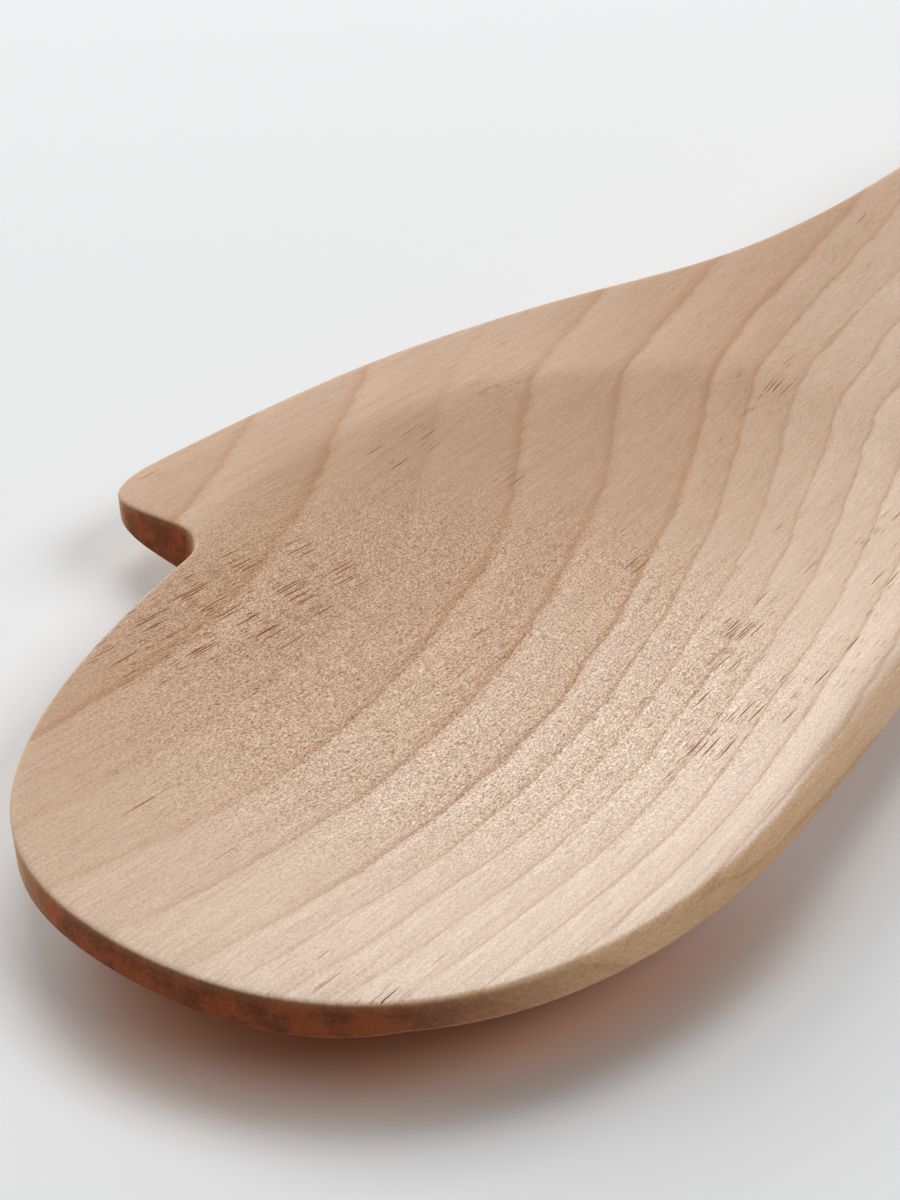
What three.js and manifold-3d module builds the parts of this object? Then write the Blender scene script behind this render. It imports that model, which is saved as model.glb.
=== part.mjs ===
// Wooden cooking spoon with a hook notch in one side of its head, carved from a single piece of wood.
// Millimetres. While it is shaped, x runs from the tip to the handle's end, y points to the notched side
// and z is up; the finished spoon is then centred on the middle of its own footprint.
import * as THREE from 'three';
import { mergeVertices } from 'three/addons/utils/BufferGeometryUtils.js';
import Module from 'manifold-3d';

// Head in plan, measured from the tip and from the handle's axis
const SPOON_LENGTH = 300;
const TIP_OFFSET = -1.3; // the tip sits a little to the plain side of the axis
const PLAIN_REACH = 28.6; // axis to the plain rim where it is widest
const PLAIN_WIDEST = 37.4; // tip to that widest place
const EAR_REACH = 43.5; // axis to the outer edge of the ear behind the notch
const NOTCH_FACE = 40.6; // tip to the notch's flat face
const NOTCH_CORNER = 29; // axis to the notch's inner corner
const NOTCH_FILLET = 3.6; // how far the inner corner's rounding runs along each side
const EAR_CORNER = 7.5; // how far the ear's rounded corner runs along the notch's face
const EAR_SWEEP = 11.4; // how far it runs along the ear's rim
const EAR_POINT = 0.8; // how far that corner's curve is drawn out to a point, as a share
const CRISP_LENGTH = 18; // the rim is cut square from the tip to here, and rounded beyond

// Dish
const DISH_DEPTH = 4.2;
const DISH_CENTRE = 56.9; // tip to the deepest place
const DISH_LENGTH = 100.9; // tip to the dish's soft end at the neck
const DISH_REACH = 32.5; // axis to the dish's soft edge on the ear
const DISH_SOFTNESS = 0.06; // share of the depth over which the dish's edge is eased

// Heights and thicknesses in side view
const RIM_HEIGHT = 7.5;
const RIM_EDGE = 3; // thickness of the rim's edge at the tip
const FRONT_EDGE = 2.5; // thickness of the plain side's edge just behind the tip
const SIDE_EDGE = 3.9; // thickness of the plain side's edge beside the sole
const EAR_EDGE = 1.9; // thickness of the ear's outer edge
const RIM_ROUND = 0.7; // rounding of the ear and of the plain side near the tip
const SIDE_ROUND = 3; // rounding of the plain side beside the dish's middle
const SIDE_ROUND_START = 22; // tip to where the plain side's rounding starts to grow
const SOLE_START = 45; // tip to the flat sole under the dish
const CURL_START = 6; // tip to where the underside's curl starts to follow the plain rim
const SOLE_SHARE = 0.2; // share of the half width that is flat underneath
const CRANK_START = 91.5; // here the sole ends and the neck starts to climb
const ARCH_HEIGHT = 22.4; // top of the handle's arch
const ARCH_PLACE = 206; // tip to the top of the arch
const NECK_START = 130; // tip to where the section starts to turn into the handle's

// Handle
const HANDLE_WAIST = 23; // width at the top of the arch
const HANDLE_WIDTH = 26; // width near the end
const HANDLE_THICKNESS = 9.5;
const HANDLE_EDGE = 6;
const HANDLE_ROUND = 3;
const HANDLE_CROWN = 1;
const END_ROUND = 13; // length over which the handle's end is rounded
const END_TURN = 1.3; // angle in radians that the end's rounding turns before its small flat

const { lerp, clamp, smoothstep } = THREE.MathUtils;

// Rims in plan: the plain side from the tip, the front of the notched side, and the ear from the notch back
const endStart = SPOON_LENGTH - END_ROUND;
const plainRim = new THREE.Path();
plainRim.moveTo(0, TIP_OFFSET);
plainRim.bezierCurveTo(
  0, lerp(TIP_OFFSET, -PLAIN_REACH, 0.71),
  PLAIN_WIDEST * 0.42, -PLAIN_REACH,
  PLAIN_WIDEST, -PLAIN_REACH,
);
plainRim.bezierCurveTo(
  lerp(PLAIN_WIDEST, ARCH_PLACE, 0.5), -PLAIN_REACH,
  lerp(PLAIN_WIDEST, ARCH_PLACE, 0.28), -HANDLE_WAIST / 2,
  ARCH_PLACE, -HANDLE_WAIST / 2,
);
plainRim.lineTo(endStart, -HANDLE_WIDTH / 2);

const filletStart = new THREE.Vector2(NOTCH_FACE - NOTCH_FILLET, NOTCH_CORNER - NOTCH_FILLET * 0.26);
const notchedRim = new THREE.Path();
notchedRim.moveTo(0, TIP_OFFSET);
notchedRim.bezierCurveTo(
  0, lerp(TIP_OFFSET, filletStart.y, 0.455),
  filletStart.x * 0.187, lerp(TIP_OFFSET, filletStart.y, 0.777),
  filletStart.x, filletStart.y,
);

const earRim = new THREE.Path();
earRim.moveTo(NOTCH_FACE + EAR_SWEEP, EAR_REACH);
earRim.bezierCurveTo(
  lerp(NOTCH_FACE, ARCH_PLACE, 0.616), EAR_REACH,
  lerp(NOTCH_FACE, ARCH_PLACE, 0.293), HANDLE_WAIST / 2,
  ARCH_PLACE, HANDLE_WAIST / 2,
);
earRim.lineTo(endStart, HANDLE_WIDTH / 2);

// Edge of the dish on the notched side: it follows the front rim, then leaves it to run over the ear
const dishRim = new THREE.Path();
dishRim.moveTo(0, TIP_OFFSET);
dishRim.add(notchedRim.curves[0]);
dishRim.currentPoint.copy(filletStart);
dishRim.bezierCurveTo(
  lerp(filletStart.x, DISH_CENTRE, 0.35), lerp(filletStart.y, DISH_REACH, 0.45),
  lerp(filletStart.x, DISH_CENTRE, 0.65), DISH_REACH,
  DISH_CENTRE, DISH_REACH,
);

// Reads a rim's distance from the axis at one place along the spoon
function rimReader(path) {
  const points = path.getPoints(60);
  return (x) => {
    const next = points.findIndex((point) => point.x > x);
    if (next === 0) return points[0].y;
    if (next < 0) return points[points.length - 1].y;
    const before = points[next - 1];
    const after = points[next];
    return lerp(before.y, after.y, (x - before.x) / (after.x - before.x));
  };
}

const plainAt = rimReader(plainRim);
const earAt = rimReader(earRim);
const dishAt = rimReader(dishRim);

// Share of the way from head to handle, 0 at the head and 1 at the waist
const handleShare = (x) => smoothstep(x, CRANK_START, ARCH_PLACE);

// The same for the rounding of the edges, which changes later
const neckShare = (x) => smoothstep(x, NECK_START, ARCH_PLACE);

// Height of the top along the axis, before the dish is hollowed
function crestHeight(x) {
  const climb = (ARCH_HEIGHT - RIM_HEIGHT) * handleShare(x);
  const past = Math.max(0, (x - ARCH_PLACE) / (SPOON_LENGTH - ARCH_PLACE));
  return RIM_HEIGHT + climb - (ARCH_HEIGHT - HANDLE_THICKNESS) * past * past * (2 - past);
}

// Height of the underside along the axis
function keelHeight(x) {
  if (x < SOLE_START) {
    return (RIM_HEIGHT - RIM_EDGE) * ((SOLE_START - x) / SOLE_START) ** 2;
  }
  return crestHeight(x) - lerp(RIM_HEIGHT, HANDLE_THICKNESS, handleShare(x));
}

// How far the dish is hollowed below the rim
function dishDepth(x, y) {
  let inside;
  if (x < DISH_CENTRE) {
    const along = (DISH_CENTRE - x) / DISH_CENTRE;
    const half = Math.max(0.5, (dishAt(x) - plainAt(x)) / 2);
    const across = (y - (dishAt(x) + plainAt(x)) / 2) / half;
    inside = (1 - along * along) * (1 - across * across);
  } else {
    const middle = (DISH_REACH + plainAt(DISH_CENTRE)) / 2;
    const along = (x - DISH_CENTRE) / (DISH_LENGTH - DISH_CENTRE);
    const across = (y - middle) / (DISH_REACH - middle);
    inside = 1 - along * along - across * across;
  }
  return DISH_DEPTH * DISH_SOFTNESS * Math.log1p(Math.exp(inside / DISH_SOFTNESS));
}

// One cross-section as a closed loop of points, from the plain rim over the top and back underneath
const TOP_STEPS = 22;
const ROUND_STEPS = 3;
const BELLY_STEPS = 7;

function crossSection(x) {
  const place = Math.max(0, x);
  const plain = x < CRISP_LENGTH ? plainAt(CRISP_LENGTH) : plainAt(x);
  const ear = earAt(x);
  const share = handleShare(place);
  const crest = crestHeight(place);
  const keel = keelHeight(place);
  const sideEdge = lerp(FRONT_EDGE, SIDE_EDGE, smoothstep(place, 0, SOLE_START));
  const sideRound = lerp(RIM_ROUND, SIDE_ROUND, smoothstep(place, SIDE_ROUND_START, DISH_CENTRE));
  const edge = (y) => lerp(y < 0 ? sideEdge : EAR_EDGE, HANDLE_EDGE, share);
  const plainRound = lerp(sideRound, HANDLE_ROUND, neckShare(place));
  const earRound = lerp(RIM_ROUND, HANDLE_ROUND, neckShare(place));
  const width = (y) => (y < 0 ? -plain : ear);
  const topAt = (y) => crest - HANDLE_CROWN * neckShare(place) * (y / width(y)) ** 2 - dishDepth(place, y);
  const bellyAt = (y) => {
    const reach = y < 0 ? -plainAt(Math.max(x, CURL_START)) : ear;
    const flat = SOLE_SHARE * reach;
    const out = clamp((Math.abs(y) - flat) / (reach - flat), 0, 1);
    return keel + (crest - edge(y) - keel) * out * out;
  };
  const loop = [];
  for (let i = 0; i <= TOP_STEPS; i += 1) {
    const y = lerp(plain + plainRound, ear - earRound, i / TOP_STEPS);
    loop.push([y, topAt(y)]);
  }
  for (let i = 1; i <= ROUND_STEPS; i += 1) {
    const turn = (Math.PI / 2) * (i / ROUND_STEPS);
    const start = ear - earRound;
    loop.push([start + earRound * Math.sin(turn), topAt(start) - earRound + earRound * Math.cos(turn)]);
  }
  for (let i = 0; i <= BELLY_STEPS; i += 1) {
    const y = ear * lerp(1, SOLE_SHARE, i / BELLY_STEPS);
    loop.push([y, bellyAt(y)]);
  }
  for (let i = 0; i <= BELLY_STEPS; i += 1) {
    const y = plain * lerp(SOLE_SHARE, 1, i / BELLY_STEPS);
    loop.push([y, bellyAt(y)]);
  }
  for (let i = 1; i <= ROUND_STEPS; i += 1) {
    const turn = (Math.PI / 2) * (1 - i / ROUND_STEPS);
    const start = plain + plainRound;
    const fall = plainRound * (1 - Math.cos(turn));
    if (i < ROUND_STEPS) loop.push([start - plainRound * Math.sin(turn), topAt(start) - fall]);
  }
  return loop;
}

// Stations along the spoon, closer together where it curves more
const stations = [-3];
const runs = [
  [0, NOTCH_FACE, 12],
  [NOTCH_FACE, DISH_LENGTH + 4, 16],
  [DISH_LENGTH + 4, ARCH_PLACE, 14],
  [ARCH_PLACE, endStart, 8],
];
for (const [from, to, count] of runs) {
  for (let i = 0; i < count; i += 1) stations.push(lerp(from, to, i / count));
}
const sections = stations.map((x) => crossSection(x).map(([y, z]) => [x, y, z]));

// The handle's end is rounded by shrinking its last cross-section
const END_STEPS = 6;
const lastLoop = crossSection(endStart);
const endMiddle = crestHeight(endStart) - HANDLE_THICKNESS / 2;
for (let i = 0; i <= END_STEPS; i += 1) {
  const turn = END_TURN * (i / END_STEPS);
  const x = endStart + END_ROUND * (Math.sin(turn) / Math.sin(END_TURN));
  const shrink = Math.cos(turn);
  const thin = lerp(0.4, 1, shrink);
  const drop = crestHeight(x) - crestHeight(endStart);
  sections.push(lastLoop.map(([y, z]) => [x, y * shrink, endMiddle + drop + (z - endMiddle) * thin]));
}

// Skin over the sections, closed at both ends
function loft(loops) {
  const size = loops[0].length;
  const positions = loops.flat(2);
  const faces = [];
  for (let s = 0; s + 1 < loops.length; s += 1) {
    for (let i = 0; i < size; i += 1) {
      const a = s * size + i;
      const b = s * size + ((i + 1) % size);
      faces.push(a, a + size, b, b, a + size, b + size);
    }
  }
  const capFaces = (loop) => {
    const flat = loop.map(([, y, z]) => new THREE.Vector2(y, z));
    return THREE.ShapeUtils.triangulateShape(flat, []);
  };
  const last = (loops.length - 1) * size;
  for (const [a, b, c] of capFaces(loops[0])) faces.push(a, c, b);
  for (const [a, b, c] of capFaces(loops[loops.length - 1])) faces.push(last + a, last + b, last + c);
  const geometry = new THREE.BufferGeometry();
  geometry.setAttribute('position', new THREE.Float32BufferAttribute(positions, 3));
  geometry.setIndex(faces);
  return geometry;
}

// Waste sawn away in plan: everything outside the tip, the front of the notched side and the notch
function wasteAroundTip() {
  const clear = 20;
  const shape = new THREE.Shape();
  shape.moveTo(CRISP_LENGTH, -PLAIN_REACH - clear);
  shape.lineTo(CRISP_LENGTH, plainAt(CRISP_LENGTH));
  const tipCurve = plainRim.curves[0].getPoints(40).filter((point) => point.x < CRISP_LENGTH);
  for (const point of tipCurve.reverse()) shape.lineTo(point.x, point.y);
  const front = notchedRim.curves[0];
  shape.bezierCurveTo(front.v1.x, front.v1.y, front.v2.x, front.v2.y, front.v3.x, front.v3.y);
  shape.quadraticCurveTo(NOTCH_FACE, NOTCH_CORNER, NOTCH_FACE, NOTCH_CORNER + NOTCH_FILLET);
  shape.lineTo(NOTCH_FACE, EAR_REACH - EAR_CORNER);
  shape.bezierCurveTo(
    NOTCH_FACE, EAR_REACH - EAR_CORNER * (1 - EAR_POINT),
    NOTCH_FACE + EAR_SWEEP * (1 - EAR_POINT), EAR_REACH,
    NOTCH_FACE + EAR_SWEEP, EAR_REACH,
  );
  shape.lineTo(NOTCH_FACE + EAR_SWEEP, EAR_REACH + clear);
  shape.lineTo(-clear, EAR_REACH + clear);
  shape.lineTo(-clear, -PLAIN_REACH - clear);
  const prism = new THREE.ExtrudeGeometry(shape, {
    depth: RIM_HEIGHT + 2 * clear,
    bevelEnabled: false,
    curveSegments: 14,
  });
  return prism.translate(0, 0, -clear);
}

const wasm = await Module();
wasm.setup();

function toSolid(geometry) {
  geometry.deleteAttribute('normal');
  geometry.deleteAttribute('uv');
  const merged = mergeVertices(geometry, 1e-4);
  const vertProperties = new Float32Array(merged.attributes.position.array);
  const triVerts = new Uint32Array(merged.index.array);
  return new wasm.Manifold(new wasm.Mesh({ numProp: 3, vertProperties, triVerts }));
}

function toGeometry(solid) {
  const mesh = solid.getMesh();
  const geometry = new THREE.BufferGeometry();
  geometry.setAttribute('position', new THREE.Float32BufferAttribute(mesh.vertProperties, 3));
  geometry.setIndex(Array.from(mesh.triVerts));
  return geometry;
}

const spoonGeometry = toGeometry(toSolid(loft(sections)).subtract(toSolid(wasteAroundTip())));
spoonGeometry.computeBoundingBox();
const box = spoonGeometry.boundingBox;
spoonGeometry.translate(-(box.min.x + box.max.x) / 2, -(box.min.y + box.max.y) / 2, -box.min.z);
spoonGeometry.computeVertexNormals();

const oiledWood = new THREE.MeshStandardMaterial({ color: 0xcdb29c, roughness: 0.6, metalness: 0 });
const spoon = new THREE.Mesh(spoonGeometry, oiledWood);
spoon.name = 'spoon';

const woodenSpoon = new THREE.Group();
woodenSpoon.add(spoon);

export default woodenSpoon;
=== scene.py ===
import math

import bpy
import numpy as np
from bpy.props import FloatProperty, FloatVectorProperty, PointerProperty
from mathutils import Matrix, Vector, geometry


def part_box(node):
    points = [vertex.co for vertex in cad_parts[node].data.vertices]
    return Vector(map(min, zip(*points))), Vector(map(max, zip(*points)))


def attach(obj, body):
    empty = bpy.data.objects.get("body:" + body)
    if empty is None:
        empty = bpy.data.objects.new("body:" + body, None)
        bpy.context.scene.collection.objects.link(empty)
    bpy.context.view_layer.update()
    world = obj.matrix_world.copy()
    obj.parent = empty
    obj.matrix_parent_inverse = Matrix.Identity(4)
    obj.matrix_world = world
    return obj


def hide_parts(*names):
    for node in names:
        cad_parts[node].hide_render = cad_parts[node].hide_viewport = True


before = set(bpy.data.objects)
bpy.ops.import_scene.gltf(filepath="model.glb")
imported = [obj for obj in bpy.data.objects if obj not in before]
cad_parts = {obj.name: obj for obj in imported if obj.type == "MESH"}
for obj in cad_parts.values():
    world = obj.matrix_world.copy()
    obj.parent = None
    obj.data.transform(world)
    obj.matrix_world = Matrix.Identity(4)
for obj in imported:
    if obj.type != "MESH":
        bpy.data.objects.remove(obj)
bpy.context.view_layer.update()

bl_info = {
    "name": "Notched wooden spoon",
    "version": (1, 0, 0),
    "blender": (4, 5, 0),
    "location": "View3D > Sidebar > Spoon",
    "description": "Carves a wooden cooking spoon with a hook notch and sets it on a studio table",
    "category": "Add Mesh",
}

CAD_LOW, CAD_HIGH = (Vector(corner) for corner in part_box("spoon"))

# Skin of the spoon
EDGE_ROWS = 5  # rows of points over the rounding of each edge
LOWER_ROUND_SHARE = 0.55  # rounding of the handle's lower edges, as a share of the upper one
LOOP_STEP_SHARE = 0.7  # spacing along the outline, as a share of the mesh step

# Wood, in millimetres from the tip, the axis and the table
TIP_CLEAR = 0.0005  # metres between the wood's zero and the tip
GRAIN_AXIS = (0.96, 0.26, 0.0)  # the way the fibres run
RING_CENTRE = (57.35, 0.0, 7.5)  # place that the rings are counted from
RING_SPAN = (50.0, 30.0, 5.0)  # distance that counts as 1 along, across and up
RINGS_AT_CENTRE = 3.92
DISH_GRAIN_CENTRE = (42.0, 4.0, 5.0)  # the rougher grain in the dish
DISH_GRAIN_REACH = (34.0, 33.0)
PORE_DRIFTS = (  # centre, reach and extra share of the crowded pores
    ((32.0, 21.0, 0.0), (18.0, 10.0), 0.40),
    ((57.0, -19.0, 0.0), (30.0, 9.0), 0.27),
)
PORE_KINDS = (  # pores per millimetre along and across, then the weight of long and short pores
    ((0.17, 4.5, 0.0), 1.0),
    ((0.42, 6.0, 0.0), 0.7),
)
PORE_SIZE = 0.34  # reach of a pore as a share of its cell
PORE_CHANCE = 0.86  # a cell holds a pore where its own number and the drift come to more

# Stage, in metres
TABLE_REACH = 8.0
MELT_START = 0.45  # from here the table turns into the backdrop
MELT_END = 1.3
PAINTED_SHADE_CENTRE = (-0.108, -0.010, 0.0)  # painted shade and painted warm bounce light on the table around the head's tip
PAINTED_SHADE_REACH = (0.044, 0.030)
LAMP_TARGET = (-0.09, 0.0, 0.0)
LAMP_TINT = (1.0, 0.985, 0.965)
AMBIENT_TINT = (0.97, 0.985, 1.0)
LAMPS = (  # name, place, size and the setting with its power
    ("overhead", (1.065, 0.975, 2.415), (1.4, 1.4), "overhead_power"),
    ("window", (1.92, 2.175, 0.63), (3.9, 1.08), "window_power"),
    ("side_window", (-0.465, 2.085, 1.125), (2.1, 1.5), "side_power"),
    ("pale_wall", (0.64, -1.565, 1.56), (1.8, 0.9), "fill_power"),
)


def length(name, description, default):
    """A size in metres."""
    return FloatProperty(name=name, description=description, default=default, unit="LENGTH", precision=5)


def share(name, description, default):
    """A plain number from 0 to 1."""
    return FloatProperty(
        name=name, description=description, default=default, min=0.0, max=1.0, subtype="FACTOR"
    )


def colour(name, description, default):
    """A linear colour."""
    return FloatVectorProperty(
        name=name, description=description, default=default, size=3, min=0.0, max=1.0, subtype="COLOR"
    )


def angle(name, description, degrees):
    """An angle given in degrees."""
    return FloatProperty(name=name, description=description, default=math.radians(degrees), subtype="ANGLE")


def power(name, description, default):
    """A lamp's power in watts."""
    return FloatProperty(name=name, description=description, default=default, min=0.0, unit="POWER")


class SpoonSizes(bpy.types.PropertyGroup):
    """Sizes of the carved spoon, measured from its tip and from the handle's axis."""

    spoon_length: length("Length", "Tip to handle end", CAD_HIGH.x - CAD_LOW.x)
    tip_offset: length("Tip offset", "How far the tip sits off the axis", -0.0013)
    plain_reach: length("Plain reach", "Axis to the plain rim", 0.0286)
    plain_widest: length("Plain widest", "Tip to the plain rim's widest place", 0.0374)
    ear_reach: length("Ear reach", "Axis to the ear's outer edge", 0.0435)
    notch_face: length("Notch face", "Tip to the notch's flat face", 0.0406)
    notch_corner: length("Notch corner", "Axis to the notch's inner corner", 0.029)
    notch_fillet: length("Notch fillet", "Rounding of the inner corner along each side", 0.0036)
    ear_corner: length("Ear corner", "Rounded corner of the ear along the notch's face", 0.0075)
    ear_sweep: length("Ear sweep", "Rounded corner of the ear along its rim", 0.0114)
    ear_point: share("Ear point", "How far that corner's curve is drawn out to a point", 0.8)
    crisp_length: length("Crisp length", "Tip to where the rim's rounding starts", 0.018)
    dish_depth: length("Dish depth", "Deepest place below the rim", 0.0042)
    dish_centre: length("Dish centre", "Tip to the deepest place", 0.0569)
    dish_length: length("Dish length", "Tip to the dish's soft end", 0.1009)
    dish_reach: length("Dish reach", "Axis to the dish's edge on the ear", 0.0325)
    dish_softness: share("Dish softness", "How gently the dish's edge is eased", 0.06)
    rim_height: length("Rim height", "Table to rim", 0.0075)
    rim_edge: length("Rim edge", "Thickness of the rim's edge at the tip", 0.003)
    front_edge: length("Front edge", "Thickness of the plain side's edge just behind the tip", 0.0025)
    side_edge: length("Side edge", "Thickness of the plain side's edge", 0.0039)
    ear_edge: length("Ear edge", "Thickness of the ear's edge", 0.0019)
    sole_start: length("Sole start", "Tip to the flat sole", 0.045)
    curl_start: length("Curl start", "Tip to where the underside's curl follows the plain rim", 0.006)
    sole_share: share("Sole share", "Share of the half width that is flat underneath", 0.2)
    crank_start: length("Crank start", "Tip to where the neck starts to climb", 0.0915)
    arch_height: length("Arch height", "Table to the top of the handle's arch", CAD_HIGH.z)
    arch_place: length("Arch place", "Tip to the top of the arch", 0.206)
    neck_start: length("Neck start", "Tip to where the section turns into the handle's", 0.130)
    handle_waist: length("Handle waist", "Handle width at the arch", 0.023)
    handle_width: length("Handle width", "Handle width near its end", 0.026)
    handle_thickness: length("Handle thickness", "Handle thickness", 0.0095)
    handle_edge: length("Handle edge", "Height of the handle's side", 0.006)
    handle_crown: length("Handle crown", "How far the handle's top is crowned", 0.001)
    end_round: length("End round", "Length of the handle's rounded end", 0.013)
    crisp_round: length("Crisp easing", "Easing of the sawn edges", 0.0004)
    rim_round: length("Rim round", "Rounding of the ear and of the plain rim near the tip", 0.0007)
    side_round: length("Side round", "Rounding of the plain side beside the dish's middle", 0.003)
    side_round_start: length("Side round start", "Tip to where that rounding starts to grow", 0.022)
    handle_round: length("Handle round", "Rounding of the handle's edges", 0.003)
    mesh_step: length("Mesh step", "Distance between the points of the surface", 0.001)


class SpoonWood(bpy.types.PropertyGroup):
    """Colours of the wood, as linear values."""

    early_wood: colour("Early wood", "Wood between the ring lines", (0.512, 0.334, 0.219))
    # partly the wood's own sapwood tone, partly painted sheen on the plain side, the ear and the handle
    sap_wood: colour("Sap wood", "Paler wood towards the plain side of the tip", (0.705, 0.567, 0.458))
    # painted light: a lit, more saturated copy of the wood for the rim's steep sides, without the top's
    # painted sheen
    flank_wood: colour("Flank wood", "Wood on the sides of the rim", (0.610, 0.385, 0.220))
    late_wood: colour("Late wood", "Darker wood at the ring lines", (0.390, 0.180, 0.075))
    pore: colour("Pores", "Open pores along the grain", (0.270, 0.088, 0.028))
    end_wood: colour("End wood", "Cut ends of the fibres", (0.265, 0.048, 0.008))
    end_dark: colour("Dark end wood", "Darkest patches of the cut ends", (0.120, 0.019, 0.003))
    # also the colour of the painted highlight along the top of the cut ends
    end_spot_and_highlight: colour("End spots", "Pale cells in the cut ends", (0.430, 0.200, 0.090))


class SpoonStage(bpy.types.PropertyGroup):
    """Camera, table and light."""

    camera_place: FloatVectorProperty(
        name="Camera place",
        description="Camera position",
        default=(-0.196725, -0.06595, 0.0725),
        size=3,
        subtype="TRANSLATION",
    )
    camera_turn: angle("Camera turn", "Turn from +X", 35.3)
    camera_tilt: angle("Camera tilt", "Tilt below level", 30.4)
    camera_lens: FloatProperty(name="Lens", description="Focal length in millimetres", default=48.0, min=1.0)
    table: colour("Table", "Pale table", (0.83, 0.845, 0.865))
    backdrop: colour("Backdrop", "Far background", (0.83, 0.84, 0.84))
    # painted shade and painted bounce light: the table's colour is blended towards these two colours in front
    # of the head's tip
    shade: colour("Shade", "Close shade around the head's tip", (0.61, 0.55, 0.515))
    glow: colour("Glow", "Warm light that the wood throws on the table", (0.62, 0.35, 0.24))
    ambient: FloatProperty(name="Ambient", description="Light from all round", default=0.12, min=0.0)
    overhead_power: power("Overhead", "Power of the soft lamp above", 27.2)
    window_power: power("Window", "Power of the wide window behind", 45.0)
    side_power: power("Side", "Power of the window on the notched side", 34.5)
    fill_power: power("Fill", "Power of the pale wall on the plain side", 24.0)


# Outline of the spoon in plan


def bezier(start, lead, trail, end, count=120):
    """Points on a cubic curve."""
    t = np.linspace(0.0, 1.0, count)[:, None]
    a, b, c, d = (np.array(point, dtype=float) for point in (start, lead, trail, end))
    return (1 - t) ** 3 * a + 3 * (1 - t) ** 2 * t * b + 3 * (1 - t) * t**2 * c + t**3 * d


def bend(start, corner, end, count=24):
    """Points on a quadratic curve that rounds a corner."""
    t = np.linspace(0.0, 1.0, count)[:, None]
    a, b, c = (np.array(point, dtype=float) for point in (start, corner, end))
    return (1 - t) ** 2 * a + 2 * (1 - t) * t * b + t**2 * c


def mix(a, b, t):
    return a + (b - a) * t


def smooth(low, high, value):
    t = np.clip((value - low) / (high - low), 0.0, 1.0)
    return t * t * (3 - 2 * t)


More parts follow.
